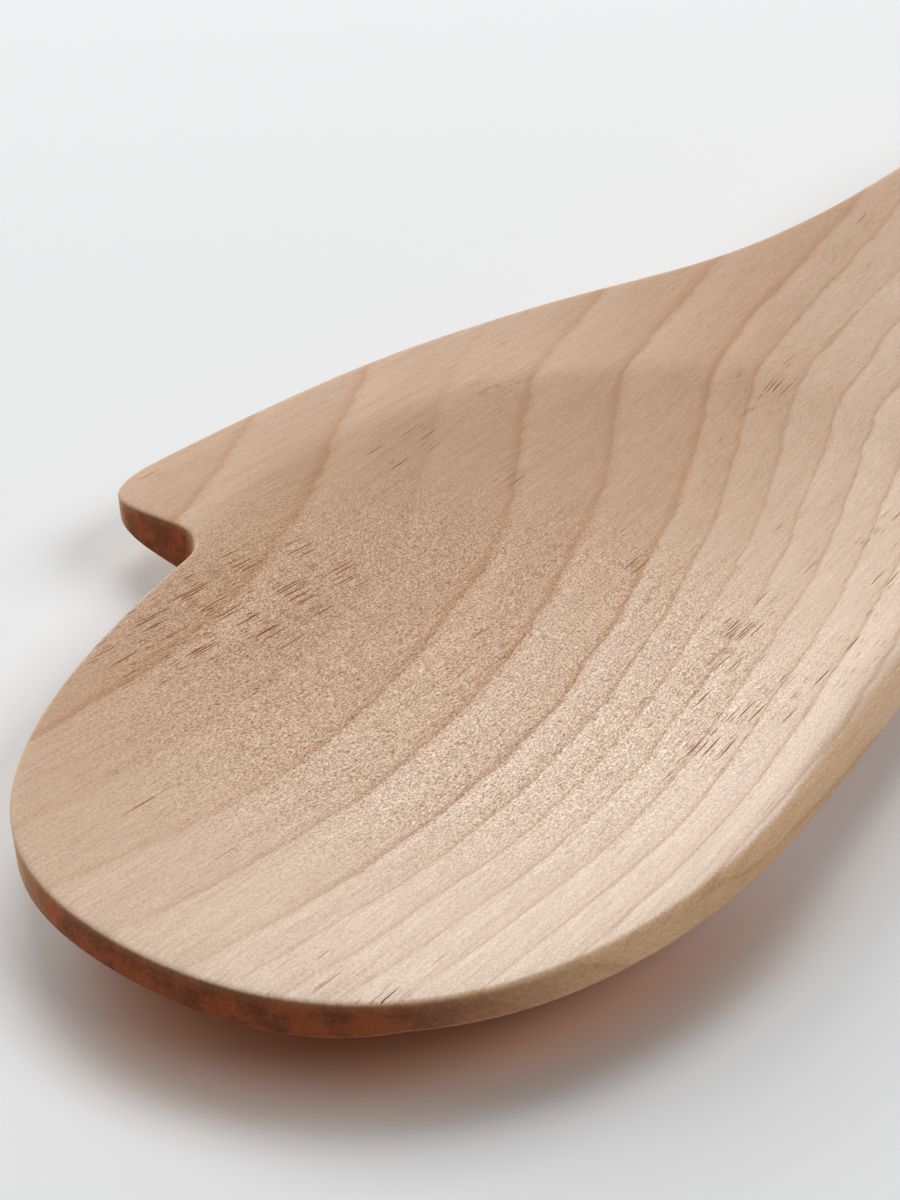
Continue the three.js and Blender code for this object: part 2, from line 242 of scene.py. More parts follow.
class Outline:
    """The spoon's rims in plan, with the readings that the carving needs."""

    def __init__(self, sizes):
        s = sizes
        self.sizes = s
        self.end_start = s.spoon_length - s.end_round
        waist = s.handle_waist / 2
        wide = s.handle_width / 2
        tip = (0.0, s.tip_offset)
        plain_front = bezier(
            tip,
            (0.0, mix(s.tip_offset, -s.plain_reach, 0.71)),
            (s.plain_widest * 0.42, -s.plain_reach),
            (s.plain_widest, -s.plain_reach),
        )
        plain_back = bezier(
            (s.plain_widest, -s.plain_reach),
            (mix(s.plain_widest, s.arch_place, 0.5), -s.plain_reach),
            (mix(s.plain_widest, s.arch_place, 0.28), -waist),
            (s.arch_place, -waist),
        )
        self.plain = np.vstack([plain_front, plain_back[1:], [(self.end_start, -wide)]])
        fillet = (s.notch_face - s.notch_fillet, s.notch_corner - s.notch_fillet * 0.26)
        self.front = bezier(
            tip,
            (0.0, mix(s.tip_offset, fillet[1], 0.455)),
            (fillet[0] * 0.187, mix(s.tip_offset, fillet[1], 0.777)),
            fillet,
        )
        ear = bezier(
            (s.notch_face + s.ear_sweep, s.ear_reach),
            (mix(s.notch_face, s.arch_place, 0.616), s.ear_reach),
            (mix(s.notch_face, s.arch_place, 0.293), waist),
            (s.arch_place, waist),
        )
        self.ear = np.vstack([ear, [(self.end_start, wide)]])
        over_ear = bezier(
            fillet,
            (mix(fillet[0], s.dish_centre, 0.35), mix(fillet[1], s.dish_reach, 0.45)),
            (mix(fillet[0], s.dish_centre, 0.65), s.dish_reach),
            (s.dish_centre, s.dish_reach),
        )
        self.dish = np.vstack([self.front, over_ear[1:]])
        self.corner = bezier(
            self.ear[0],
            (s.notch_face + s.ear_sweep * (1 - s.ear_point), s.ear_reach),
            (s.notch_face, s.ear_reach - s.ear_corner * (1 - s.ear_point)),
            (s.notch_face, s.ear_reach - s.ear_corner),
        )
        inner = (s.notch_face, s.notch_corner)
        self.fillet = bend((s.notch_face, s.notch_corner + s.notch_fillet), inner, fillet)
        end_turn = np.linspace(-math.pi / 2, math.pi / 2, 60)[1:-1, None]
        self.end = np.hstack([self.end_start + s.end_round * np.cos(end_turn), wide * np.sin(end_turn)])

    def plain_at(self, x):
        return np.interp(x, self.plain[:, 0], self.plain[:, 1])

    def ear_at(self, x):
        return np.interp(x, self.ear[:, 0], self.ear[:, 1])

    def dish_at(self, x):
        return np.interp(x, self.dish[:, 0], self.dish[:, 1])

    def loop(self, step):
        """The whole outline, counter-clockwise, at an even spacing."""
        notched_side = [self.ear[::-1], self.corner[1:], self.fillet, self.front[::-1][1:]]
        path = np.vstack([self.plain, self.end, *notched_side])
        legs = np.hypot(*np.diff(path, axis=0).T)
        run = np.concatenate([[0.0], np.cumsum(legs)])
        count = int(run[-1] / step)
        even = np.linspace(0.0, run[-1], count, endpoint=False)
        return np.column_stack([np.interp(even, run, path[:, 0]), np.interp(even, run, path[:, 1])])

    def rounding(self, points):
        """Edge radius along the outline: crisp at the tip and notch, soft on the plain side and handle."""
        s = self.sizes
        x, y = points.T
        to_handle = smooth(s.neck_start, s.arch_place, x)
        plain_side = mix(s.crisp_round, s.rim_round, smooth(s.crisp_length * 0.5, s.crisp_length * 1.5, x))
        plain_side = mix(plain_side, s.side_round, smooth(s.side_round_start, s.dish_centre, x))
        ear_side = mix(s.crisp_round, s.rim_round, smooth(s.notch_face, s.notch_face + s.ear_sweep, x))
        return mix(np.where(y < 0, plain_side, ear_side), s.handle_round, to_handle)

    def edge(self, x, y):
        """Thickness of the head's edge on the side that a point belongs to."""
        s = self.sizes
        return np.where(y < 0, mix(s.front_edge, s.side_edge, smooth(0.0, s.sole_start, x)), s.ear_edge)

    def inside_dish(self, x, y):
        """1 at the dish's deepest place, 0 on its edge, below 0 outside."""
        s = self.sizes
        low = self.plain_at(x)
        high = self.dish_at(x)
        half = np.maximum(0.0005, (high - low) / 2)
        along = (s.dish_centre - x) / s.dish_centre
        across = (y - (high + low) / 2) / half
        ahead = (1 - along**2) * (1 - across**2)
        middle = (s.dish_reach + self.plain_at(s.dish_centre)) / 2
        along = (x - s.dish_centre) / (s.dish_length - s.dish_centre)
        across = (y - middle) / (s.dish_reach - middle)
        behind = 1 - along**2 - across**2
        return np.where(x < s.dish_centre, ahead, behind)


def inward_normals(loop):
    """Unit normals pointing into a counter-clockwise loop."""
    tangent = np.roll(loop, -1, axis=0) - np.roll(loop, 1, axis=0)
    tangent /= np.linalg.norm(tangent, axis=1)[:, None]
    return np.column_stack([-tangent[:, 1], tangent[:, 0]])


def plan_points(border, step):
    """Even points inside the border, none closer to it than half a step."""
    low = border.min(axis=0)
    high = border.max(axis=0)
    rows = []
    row_gap = step * math.sqrt(3) / 2
    for index, y in enumerate(np.arange(low[1] + row_gap / 2, high[1], row_gap)):
        first = low[0] + step * (0.25 if index % 2 else 0.75)
        following = np.roll(border, -1, axis=0)
        crosses = (border[:, 1] <= y) != (following[:, 1] <= y)
        a = border[crosses]
        b = following[crosses]
        at = np.sort(a[:, 0] + (y - a[:, 1]) / (b[:, 1] - a[:, 1]) * (b[:, 0] - a[:, 0]))
        for left, right in zip(at[0::2], at[1::2]):
            xs = np.arange(first, high[0], step)
            xs = xs[(xs > left + step * 0.5) & (xs < right - step * 0.5)]
            rows.append(np.column_stack([xs, np.full(len(xs), y)]))
    points = np.vstack(rows)
    keep = np.ones(len(points), dtype=bool)
    for start in range(0, len(points), 2000):
        part = points[start : start + 2000]
        gap = np.sqrt(((part[:, None, :] - border[None, :, :]) ** 2).sum(axis=2)).min(axis=1)
        keep[start : start + 2000] = gap > step * 0.5
    return points[keep]


def plan_mesh(outline):
    """Flat two-sided skin of the spoon: the plan filled twice, joined by rows of points around the edge."""
    sizes = outline.sizes
    step = sizes.mesh_step
    loop = outline.loop(step * LOOP_STEP_SHARE)
    normal = inward_normals(loop)
    radius = outline.rounding(loop)
    to_handle = smooth(sizes.neck_start, sizes.arch_place, loop[:, 0])
    lower_radius = mix(np.minimum(radius, sizes.rim_round), sizes.handle_round * LOWER_ROUND_SHARE, to_handle)
    border = loop + normal * radius[:, None]
    inner = plan_points(border, step)
    flat = np.vstack([border, inner])
    count = len(loop)
    ring = list(range(count))
    in_millimetres = [Vector(point * 1000.0) for point in flat]
    found = geometry.delaunay_2d_cdt(in_millimetres, [], [ring], 1, 1e-7)
    source = [origin[0] for origin in found[3]]
    triangles = [[source[i] for i in face] for face in found[2]]
    total = len(flat)
    turns = [math.pi / 2 * (i + 1) / EDGE_ROWS for i in range(EDGE_ROWS)]
    places = [flat, flat]
    drops = [np.zeros(total), np.zeros(total)]
    sides = [np.ones(total), -np.ones(total)]
    for side in (1.0, -1.0):
        for turn in turns:
            places.append(loop + normal * (radius * (1 - math.sin(turn)))[:, None])
            drops.append((radius if side > 0 else lower_radius) * (1 - math.cos(turn)))
            sides.append(np.full(count, side))
    faces = list(triangles)
    faces += [[total + i for i in reversed(face)] for face in triangles]
    once_round = np.arange(count)
    edge_rows = [once_round + 2 * total + i * count for i in range(2 * EDGE_ROWS)]
    over = [once_round, *edge_rows[:EDGE_ROWS]]
    under = [once_round + total, *edge_rows[EDGE_ROWS:]]
    rows = over + under[::-1]
    for upper, lower in zip(rows, rows[1:]):
        next_upper = np.roll(upper, -1)
        next_lower = np.roll(lower, -1)
        faces += np.column_stack([upper, lower, next_lower, next_upper]).tolist()
    place = np.vstack(places)
    side = np.concatenate(sides)
    drop = np.concatenate(drops)
    return place, side, drop, faces


# Node helpers


class Nodes:
    """Places nodes in a tree and joins them, with plain numbers where no link is needed."""

    def __init__(self, tree):
        self.tree = tree

    def feed(self, socket, value):
        if isinstance(value, bpy.types.NodeSocket):
            self.tree.links.new(value, socket)
        else:
            socket.default_value = value

    def math(self, operation, a, b=None, c=None, label=""):
        node = self.tree.nodes.new("ShaderNodeMath")
        node.operation = operation
        node.label = label
        for socket, value in zip(node.inputs, (a, b, c)):
            if value is not None:
                self.feed(socket, value)
        return node.outputs[0]

    def vector(self, operation, a, b=None, scale=None, label=""):
        node = self.tree.nodes.new("ShaderNodeVectorMath")
        node.operation = operation
        node.label = label
        self.feed(node.inputs[0], a)
        if b is not None:
            self.feed(node.inputs[1], b)
        if scale is not None:
            self.feed(node.inputs["Scale"], scale)
        gives_number = operation in {"LENGTH", "DOT_PRODUCT"}
        return node.outputs["Value" if gives_number else "Vector"]

    def ramp(self, value, low, high, to_low=0.0, to_high=1.0, kind="SMOOTHSTEP", label=""):
        node = self.tree.nodes.new("ShaderNodeMapRange")
        node.interpolation_type = kind
        node.label = label
        names = ("Value", "From Min", "From Max", "To Min", "To Max")
        for name, given in zip(names, (value, low, high, to_low, to_high)):
            self.feed(node.inputs[name], given)
        return node.outputs["Result"]

    def blend(self, factor, a, b, mode="MIX", label=""):
        node = self.tree.nodes.new("ShaderNodeMix")
        node.data_type = "RGBA"
        node.blend_type = mode
        node.label = label
        self.feed(node.inputs["Factor"], factor)
        for socket, value in ((node.inputs[6], a), (node.inputs[7], b)):
            self.feed(socket, value if isinstance(value, bpy.types.NodeSocket) else (*value, 1.0))
        return node.outputs[2]

    def noise(self, place, stretch, detail, roughness):
        """Noise with so many waves per millimetre along, across and up."""
        node = self.tree.nodes.new("ShaderNodeTexNoise")
        names = ("Vector", "Scale", "Detail", "Roughness")
        stretched = self.vector("MULTIPLY", place, stretch)
        for name, given in zip(names, (stretched, 1.0, detail, roughness)):
            self.feed(node.inputs[name], given)
        return node.outputs["Fac"]

    def cells(self, place, stretch, flat=False):
        """Distance from each cell's centre and a chance colour, with so many cells per millimetre."""
        node = self.tree.nodes.new("ShaderNodeTexVoronoi")
        node.voronoi_dimensions = "2D" if flat else "3D"
        self.feed(node.inputs["Vector"], self.vector("MULTIPLY", place, stretch))
        self.feed(node.inputs["Scale"], 1.0)
        return node.outputs["Distance"], node.outputs["Color"]

    def away(self, place, centre, reach):
        """Distance from a centre in plan, 1 on the ellipse of the given reach."""
        from_centre = self.vector("SUBTRACT", place, centre)
        return self.vector("LENGTH", self.vector("MULTIPLY", from_centre, (1 / reach[0], 1 / reach[1], 0.0)))


# Form of the spoon as a node tree


FORM_INPUTS = (
    "Tip", "Axis", "spoon_length", "rim_height", "rim_edge", "sole_start", "sole_share",
    "dish_depth", "dish_softness", "crank_start", "arch_height", "arch_place", "neck_start",
    "handle_thickness", "handle_edge", "handle_crown", "end_round",
)


def form_tree(material):
    """Node tree that raises the flat skin to the spoon's top and underside."""
    tree = bpy.data.node_groups.new("Spoon form", "GeometryNodeTree")
    tree.is_modifier = True
    tree.interface.new_socket("Geometry", in_out="INPUT", socket_type="NodeSocketGeometry")
    for name in FORM_INPUTS:
        tree.interface.new_socket(name, in_out="INPUT", socket_type="NodeSocketFloat")
    tree.interface.new_socket("Geometry", in_out="OUTPUT", socket_type="NodeSocketGeometry")
    n = Nodes(tree)
    given = tree.nodes.new("NodeGroupInput")
    size = {name: given.outputs[name] for name in FORM_INPUTS}
    position = tree.nodes.new("GeometryNodeInputPosition").outputs[0]
    split = tree.nodes.new("ShaderNodeSeparateXYZ")
    tree.links.new(position, split.inputs[0])

    def stored(name):
        node = tree.nodes.new("GeometryNodeInputNamedAttribute")
        node.data_type = "FLOAT"
        node.inputs["Name"].default_value = name
        return node.outputs["Attribute"]

    x = n.math("SUBTRACT", split.outputs["X"], size["Tip"], label="from the tip")
    y = n.math("SUBTRACT", split.outputs["Y"], size["Axis"], label="from the axis")
    to_handle = n.ramp(x, size["crank_start"], size["arch_place"], label="head to handle")
    climb = n.math("MULTIPLY", n.math("SUBTRACT", size["arch_height"], size["rim_height"]), to_handle)
    behind = n.math("SUBTRACT", size["spoon_length"], size["arch_place"])
    past = n.math("MAXIMUM", n.math("DIVIDE", n.math("SUBTRACT", x, size["arch_place"]), behind), 0.0)
    curve = n.math("MULTIPLY", n.math("MULTIPLY", past, past), n.math("SUBTRACT", 2.0, past))
    fall = n.math("MULTIPLY", n.math("SUBTRACT", size["arch_height"], size["handle_thickness"]), curve)
    crest = n.math("SUBTRACT", n.math("ADD", size["rim_height"], climb), fall, label="crest")
    before_sole = n.math("SUBTRACT", size["sole_start"], x)
    ahead = n.math("MAXIMUM", n.math("DIVIDE", before_sole, size["sole_start"]), 0.0)
    below_edge = n.math("SUBTRACT", size["rim_height"], size["rim_edge"])
    rise = n.math("MULTIPLY", below_edge, n.math("MULTIPLY", ahead, ahead))
    thick = n.ramp(to_handle, 0.0, 1.0, size["rim_height"], size["handle_thickness"], kind="LINEAR")
    keel = n.math("ADD", rise, n.math("SUBTRACT", crest, thick), label="keel")
    out = n.math("DIVIDE", n.math("ABSOLUTE", y), stored("reach"), label="share of the half width")
    neck = n.ramp(x, size["neck_start"], size["arch_place"], label="neck to handle")
    crown = n.math("MULTIPLY", n.math("MULTIPLY", size["handle_crown"], neck), n.math("MULTIPLY", out, out))
    eased = n.math("DIVIDE", stored("inside_dish"), size["dish_softness"])
    eased = n.math("LOGARITHM", n.math("ADD", n.math("EXPONENT", eased), 1.0), math.e)
    soft_depth = n.math("MULTIPLY", size["dish_depth"], size["dish_softness"])
    dish = n.math("MULTIPLY", soft_depth, eased, label="dish")
    top = n.math("SUBTRACT", n.math("SUBTRACT", crest, crown), dish, label="top")
    curl = n.ramp(out, size["sole_share"], 1.0, kind="LINEAR")
    edge = n.ramp(to_handle, 0.0, 1.0, stored("edge"), size["handle_edge"], kind="LINEAR")
    lift = n.math("SUBTRACT", n.math("SUBTRACT", crest, edge), keel)
    belly = n.math("ADD", keel, n.math("MULTIPLY", lift, n.math("MULTIPLY", curl, curl)), label="belly")
    end_place = n.math("SUBTRACT", size["spoon_length"], size["end_round"])
    end_share = n.ramp(x, end_place, size["spoon_length"], kind="LINEAR")
    shrink = n.math("SQRT", n.math("SUBTRACT", 1.0, n.math("MULTIPLY", end_share, end_share)))
    thin = n.ramp(shrink, 0.0, 1.0, 0.4, 1.0, kind="LINEAR", label="end thins")
    middle = n.math("SUBTRACT", crest, n.math("MULTIPLY", size["handle_thickness"], 0.5))
    drop = stored("round_drop")
    upper = n.math("SUBTRACT", top, drop)
    lower = n.math("ADD", belly, drop)
    height = n.ramp(stored("side"), -1.0, 1.0, lower, upper, kind="LINEAR")
    height = n.math("MULTIPLY_ADD", n.math("SUBTRACT", height, middle), thin, middle, label="height")
    joined = tree.nodes.new("ShaderNodeCombineXYZ")
    n.feed(joined.inputs["X"], split.outputs["X"])
    n.feed(joined.inputs["Y"], split.outputs["Y"])
    n.feed(joined.inputs["Z"], height)
    place = tree.nodes.new("GeometryNodeSetPosition")
    n.feed(place.inputs["Geometry"], given.outputs["Geometry"])
    n.feed(place.inputs["Position"], joined.outputs[0])
    real = tree.nodes.new("GeometryNodeRealizeInstances")
    n.feed(real.inputs[0], place.outputs[0])
    paint = tree.nodes.new("GeometryNodeSetMaterial")
    paint.inputs["Material"].default_value = material
    n.feed(paint.inputs["Geometry"], real.outputs[0])
    result = tree.nodes.new("NodeGroupOutput")
    n.feed(result.inputs[0], paint.outputs[0])
    return tree


# Wood


def rings_group():
    """Counts growth rings through the wood and marks their late-wood lines."""
    group = bpy.data.node_groups.new("Growth rings", "ShaderNodeTree")
    group.interface.new_socket("Place", in_out="INPUT", socket_type="NodeSocketVector")
    group.interface.new_socket("Line", in_out="OUTPUT", socket_type="NodeSocketFloat")
    group.interface.new_socket("Pale", in_out="OUTPUT", socket_type="NodeSocketFloat")
    n = Nodes(group)
    place = group.nodes.new("NodeGroupInput").outputs[0]
    split = group.nodes.new("ShaderNodeSeparateXYZ")
    n.feed(split.inputs[0], n.vector("DIVIDE", n.vector("SUBTRACT", place, RING_CENTRE), RING_SPAN))
    along = n.math("SMOOTH_MIN", split.outputs["X"], 1.55, 0.5, label="straight along the handle")
    across = split.outputs["Y"]
    up = split.outputs["Z"]
    along_2 = n.math("MULTIPLY", along, along)
    across_2 = n.math("MULTIPLY", across, across)
    bends = (
        (along, 1.86),
        (across, -4.16),
        (up, 0.6),
        (along_2, 0.08),
        (n.math("MULTIPLY", along, across), 0.91),
        (across_2, 0.3),
        (n.math("MULTIPLY", along_2, along), -0.68),
        (n.math("MULTIPLY", along, across_2), -0.25),
    )
    count = RINGS_AT_CENTRE
    for term, weight in bends:
        count = n.math("MULTIPLY_ADD", term, weight, count)
    wander = n.noise(place, (0.025, 0.07, 0.07), 3.0, 0.55)
    count = n.math("MULTIPLY_ADD", n.math("SUBTRACT", wander, 0.5), 0.45, count)
    ripple = n.noise(place, (0.12, 0.9, 0.9), 2.0, 0.5)
    count = n.math("MULTIPLY_ADD", n.math("SUBTRACT", ripple, 0.5), 0.12, count)
    crowd = n.math("MAXIMUM", n.math("SUBTRACT", count, 4.0), 0.0)
    count = n.math("MULTIPLY_ADD", crowd, 0.9, count, label="narrower rings")
    phase = n.math("FRACT", count)
    build = n.math("POWER", n.ramp(phase, 0.30, 0.92), 1.6)
    core = n.ramp(phase, 0.84, 0.96)
    late = n.math("MULTIPLY_ADD", core, 0.7, n.math("MULTIPLY", build, 0.25))
    line = n.math("MULTIPLY", late, n.ramp(phase, 1.0, 0.965))
    strength = n.noise(place, (0.03, 0.05, 0.05), 1.0, 0.5)
    strength = n.ramp(strength, 0.3, 0.7, 0.6, 1.0)
    faint = n.ramp(n.math("ABSOLUTE", n.math("SUBTRACT", count, 1.0)), 0.30, 0.70, 0.30, 1.0)
    strength = n.math("MULTIPLY", strength, n.math("MULTIPLY", faint, n.ramp(count, 4.2, 5.5, 1.0, 0.65)))
    from_tip = n.vector("DOT_PRODUCT", place, (1.0, 0.0, 0.0))
    strength = n.math("MULTIPLY", strength, n.ramp(from_tip, 4.0, 28.0, 0.5, 1.0), label="fainter at the tip")
    line = n.math("MULTIPLY", line, strength)
    pale = n.math("MULTIPLY", n.ramp(phase, 0.0, 0.07), n.ramp(phase, 0.55, 0.07))
    pale = n.math("MULTIPLY", pale, strength)
    result = group.nodes.new("NodeGroupOutput")
    n.feed(result.inputs["Line"], line)
    n.feed(result.inputs["Pale"], pale)
    return group


def pores_group():
    """Short open pores that run along the grain, crowded in drifts."""
    group = bpy.data.node_groups.new("Pores", "ShaderNodeTree")
    group.interface.new_socket("Place", in_out="INPUT", socket_type="NodeSocketVector")
    group.interface.new_socket("Mask", in_out="OUTPUT", socket_type="NodeSocketFloat")
    n = Nodes(group)
    place = group.nodes.new("NodeGroupInput").outputs[0]
    drift = n.noise(place, (0.05, 0.14, 0.2), 2.0, 0.5)
    drift = n.math("MULTIPLY_ADD", n.math("SUBTRACT", drift, 0.5), 1.2, -0.2)
    for centre, reach, gain in PORE_DRIFTS:
        crowd = n.ramp(n.away(place, centre, reach), 1.2, 0.4, 0.0, gain)
        drift = n.math("ADD", drift, crowd, label="crowded pores")
    mask = 0.0
    for stretch, weight in PORE_KINDS:
        distance, tint = n.cells(place, stretch, flat=True)
        chance = n.math("ADD", n.vector("DOT_PRODUCT", tint, (1.0, 0.0, 0.0)), drift)
        here = n.ramp(chance, PORE_CHANCE, PORE_CHANCE + 0.15)
        spot = n.ramp(distance, PORE_SIZE, PORE_SIZE * 0.5)
        pore = n.math("MULTIPLY", n.math("MULTIPLY", spot, here), weight)
        mask = n.math("MAXIMUM", mask, pore)
    result = group.nodes.new("NodeGroupOutput")
    n.feed(result.inputs[0], mask)
    return group


def sap_and_sheen_share(n, place, split):
    """0 in the heart wood, 1 in the palest wood: the plain side, the ear and the handle are paler, partly the
    wood's own heart-to-sapwood tone and partly painted sheen.
    """
    cloud = n.noise(place, (0.014, 0.05, 0.05), 2.0, 0.5)
    # painted sheen: the plain side, the ear and the handle are made paler where glancing back light brightens
    # them; the cloud below is the wood's own tone
    sap_and_sheen = n.math("MULTIPLY_ADD", split.outputs["Y"], -0.029, 0.52)
    sap_and_sheen = n.math("MULTIPLY_ADD", n.math("MINIMUM", split.outputs["X"], 75.0), -0.0065, sap_and_sheen)
    sap_and_sheen = n.math("ADD", sap_and_sheen, n.ramp(split.outputs["X"], 95.0, 125.0, 0.0, 0.28))
    sap_and_sheen = n.math("ADD", sap_and_sheen, n.ramp(split.outputs["Y"], 24.0, 34.0, 0.0, 0.70))
    sap_and_sheen = n.math("MULTIPLY_ADD", n.math("SUBTRACT", cloud, 0.5), 0.35, sap_and_sheen, label="heart to sap")
    return n.ramp(sap_and_sheen, -0.1, 1.0, kind="LINEAR")


def fibre_tone(n, grain, fine, pale):
    """Colour near white that the wood is multiplied by, from fine grain, long streaks and strands."""
    streak = n.noise(grain, (0.03, 0.9, 0.9), 3.0, 0.6)
    strand = n.noise(grain, (0.09, 3.6, 3.6), 2.0, 0.6)
    tone = n.math("MULTIPLY", fine, 2.1)
    tone = n.math("MULTIPLY_ADD", n.math("SUBTRACT", streak, 0.5), 0.22, tone)
    tone = n.math("MULTIPLY_ADD", n.math("SUBTRACT", strand, 0.5), 0.4, tone)
    tone = n.math("MULTIPLY_ADD", pale, 0.11, tone)
    joined = n.tree.nodes.new("ShaderNodeCombineColor")
    for socket, weight in zip(joined.inputs, (0.8, 1.0, 1.25)):
        n.feed(socket, n.math("MULTIPLY_ADD", tone, weight, 1.0))
    return joined.outputs[0]


def end_grain(n, wood, place, split, spots):
    """Colour of the cut ends: dark patches, pale cells and a painted highlight along their upper edge."""
    patch = n.ramp(n.noise(place, (0.05, 0.5, 0.5), 3.0, 0.6), 0.38, 0.62)
    end_colour = n.blend(patch, tuple(wood.end_wood), tuple(wood.end_dark), label="dark patches")
    # pale cells, plus a painted highlight on the top millimetre of the cut ends
    pale = n.math("MULTIPLY_ADD", spots, 0.16, n.ramp(split.outputs["Z"], 6.3, 7.5, 0.0, 0.35))
    return n.blend(pale, end_colour, tuple(wood.end_spot_and_highlight), label="pale cells")


def wood_material(wood, origin):
    """Fine-sanded, lightly oiled wood with rings, pores, fibre streaks and darker cut ends."""
    material = bpy.data.materials.new("oiled_wood")
    material.use_nodes = True
    tree = material.node_tree
    tree.nodes.clear()
    n = Nodes(tree)
    coordinates = tree.nodes.new("ShaderNodeTexCoord")
    place = n.vector("SUBTRACT", coordinates.outputs["Object"], tuple(origin))
    place = n.vector("SCALE", place, scale=1000.0, label="millimetres from the tip")
    rings = tree.nodes.new("ShaderNodeGroup")
    rings.node_tree = rings_group()
    n.feed(rings.inputs[0], place)
    line = rings.outputs["Line"]
    sway = n.noise(place, (0.04, 0.1, 0.1), 1.0, 0.5)
    sway = n.math("MULTIPLY", n.math("SUBTRACT", sway, 0.5), 2.0)
    shift = tree.nodes.new("ShaderNodeCombineXYZ")
    n.feed(shift.inputs["Y"], sway)
    n.feed(shift.inputs["Z"], sway)
    grain = n.vector("ADD", place, shift.outputs[0], label="swaying grain")
    pores = tree.nodes.new("ShaderNodeGroup")
    pores.node_tree = pores_group()
    n.feed(pores.inputs[0], grain)
    upward = n.vector("DOT_PRODUCT", coordinates.outputs["Normal"], (0.0, 0.0, 1.0))
    pore = n.math("MULTIPLY", pores.outputs["Mask"], n.ramp(n.math("ABSOLUTE", upward), 0.7, 0.9))
    facing = n.vector("DOT_PRODUCT", coordinates.outputs["Normal"], GRAIN_AXIS)
    end_cut = n.ramp(n.math("ABSOLUTE", facing), 0.5, 0.95)
    split = tree.nodes.new("ShaderNodeSeparateXYZ")
    n.feed(split.inputs[0], place)
    darker_tip = n.ramp(split.outputs["X"], 60.0, 120.0, 1.0, 0.55)
    end_cut = n.math("MULTIPLY", end_cut, darker_tip, label="cut ends")
    on_side = n.ramp(n.math("ABSOLUTE", upward), 0.8, 0.45)
    on_handle_side = n.math("MULTIPLY", on_side, n.ramp(split.outputs["X"], 100.0, 130.0))
    kept = n.math("MULTIPLY_ADD", on_handle_side, -0.7, 1.0, label="fainter on the handle's sides")
    line = n.math("MULTIPLY", line, kept)
    # paler wood on the plain side, the ear and the handle: partly the wood's own tone, partly painted sheen
    sap_and_sheen = sap_and_sheen_share(n, place, split)
    colour_now = n.blend(sap_and_sheen, tuple(wood.early_wood), tuple(wood.sap_wood), label="sap wood")
    # painted light: steep sides, most of all those facing the plain side, take a lit copy of the wood's
    # colour
    aside = n.vector("DOT_PRODUCT", coordinates.outputs["Normal"], (0.0, -1.0, 0.0))
    lit_flank = n.math("MAXIMUM", n.ramp(aside, 0.08, 0.55), n.ramp(upward, 0.8, 0.35))
    towards_tip = n.ramp(split.outputs["X"], 75.0, 30.0, 0.6, 1.0)
    lit_flank = n.math("MULTIPLY", lit_flank, towards_tip, label="sides of the rim")
    colour_now = n.blend(lit_flank, colour_now, tuple(wood.flank_wood), label="flank wood")
    line = n.math("MULTIPLY", line, 0.65)
    colour_now = n.blend(line, colour_now, tuple(wood.late_wood), label="ring lines")
    fibre = n.noise(grain, (0.8, 6.0, 6.0), 2.0, 0.65)
    speck = n.noise(place, (4.0, 9.0, 9.0), 1.0, 0.5)
    from_dish = n.away(place, DISH_GRAIN_CENTRE, DISH_GRAIN_REACH)
    raw = n.ramp(from_dish, 1.0, 0.5, 0.22, 1.0, label="rougher grain in the dish")
    fine = n.math("MULTIPLY", n.math("SUBTRACT", speck, 0.5), 1.4)
    fine = n.math("MULTIPLY_ADD", n.math("SUBTRACT", fibre, 0.5), 0.45, fine)
    tone = fibre_tone(n, grain, n.math("MULTIPLY", fine, raw), rings.outputs["Pale"])
    colour_now = n.blend(1.0, colour_now, tone, mode="MULTIPLY", label="fibre tone")
    colour_now = n.blend(pore, colour_now, tuple(wood.pore), label="pores")
    distance, _ = n.cells(place, (0.5, 3.2, 3.2))
    spots = n.ramp(distance, 0.42, 0.14, label="cut cells")
    end_colour = n.blend(1.0, end_grain(n, wood, place, split, spots), tone, mode="MULTIPLY")
    colour_now = n.blend(n.math("MULTIPLY", end_cut, 0.92), colour_now, end_colour, label="cut ends")
    shader = tree.nodes.new("ShaderNodeBsdfPrincipled")
    n.feed(shader.inputs["Base Color"], colour_now)
    rough = n.ramp(fibre, 0.25, 0.75, 0.44, 0.58, kind="LINEAR")
    n.feed(shader.inputs["Roughness"], n.math("MULTIPLY_ADD", n.math("MAXIMUM", pore, end_cut), 0.35, rough))
    shader.inputs["Specular IOR Level"].default_value = 0.12
    height = n.math("MULTIPLY_ADD", pore, -1.0, n.math("MULTIPLY", fibre, 0.8))
    height = n.math("MULTIPLY_ADD", speck, 0.5, height)
    height = n.math("MULTIPLY_ADD", n.math("MULTIPLY", spots, end_cut), 0.8, height)
    bump = tree.nodes.new("ShaderNodeBump")
    bump.inputs["Strength"].default_value = 0.7
    bump.inputs["Distance"].default_value = 0.0001
    n.feed(bump.inputs["Height"], n.math("MULTIPLY", height, raw))
    n.feed(shader.inputs["Normal"], bump.outputs[0])
    output = tree.nodes.new("ShaderNodeOutputMaterial")
    n.feed(output.inputs["Surface"], shader.outputs[0])
    return material


